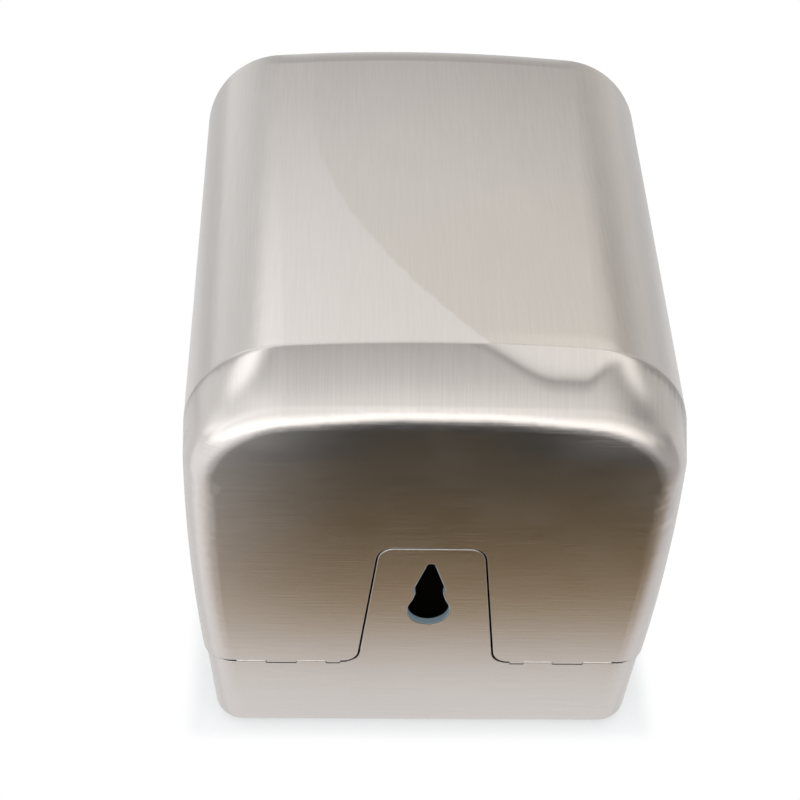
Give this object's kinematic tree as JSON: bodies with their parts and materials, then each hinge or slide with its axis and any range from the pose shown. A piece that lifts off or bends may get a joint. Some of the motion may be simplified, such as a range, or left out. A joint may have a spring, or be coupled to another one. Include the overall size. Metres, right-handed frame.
{
  "type": "centrefeed roll dispenser",
  "caption": "Wall-mounted brushed steel centrefeed roll dispenser with a hinged cover, a tree-shaped tearing outlet and a cam lock.",
  "frame": {"origin": "centre of the four wall fixing holes, on the wall face", "axes": "+Z out of the wall face towards the front of the cover, -Y towards the outlet face, X across the object; the object lies on its back"},
  "size_m": [0.258, 0.3228, 0.259],
  "materials": {
    "body_steel": "brushed",
    "pin_steel": "drawn",
    "zinc_steel": "zinc plated",
    "lock_metal": "polished",
    "grey_plastic": "matt"
  },
  "bodies": {
    "pan": {"back_pan": "body_steel", "hinge_pin_right": "pin_steel", "hinge_pin_left": "pin_steel", "outlet_guide": "grey_plastic", "guide_studs": "pin_steel", "guide_washers": "zinc_steel", "guide_nuts": "zinc_steel", "shelf_channel": "body_steel", "lock_strike": "zinc_steel", "strike_rivets": "pin_steel"},
    "cover": {"cover_shell": "body_steel", "lock_body": "lock_metal", "lock_washer": "zinc_steel", "lock_nut": "zinc_steel"},
    "lock": {"lock_plug": "lock_metal", "stop_washer": "zinc_steel", "lock_cam": "zinc_steel", "cam_washer": "zinc_steel", "cam_screw": "zinc_steel"}
  },
  "joints": [
    {"name": "cover_hinge", "type": "hinge", "parent": "pan", "child": "cover", "pos_m": [0, -0.1603, 0.055], "axis": [1, 0, 0], "range_deg": [0, 90]},
    {"name": "lock_turn", "type": "hinge", "parent": "cover", "child": "lock", "pos_m": [0, 0.1596, 0.085], "axis": [0, 1, 0], "range_deg": [0, 90]}
  ]
}
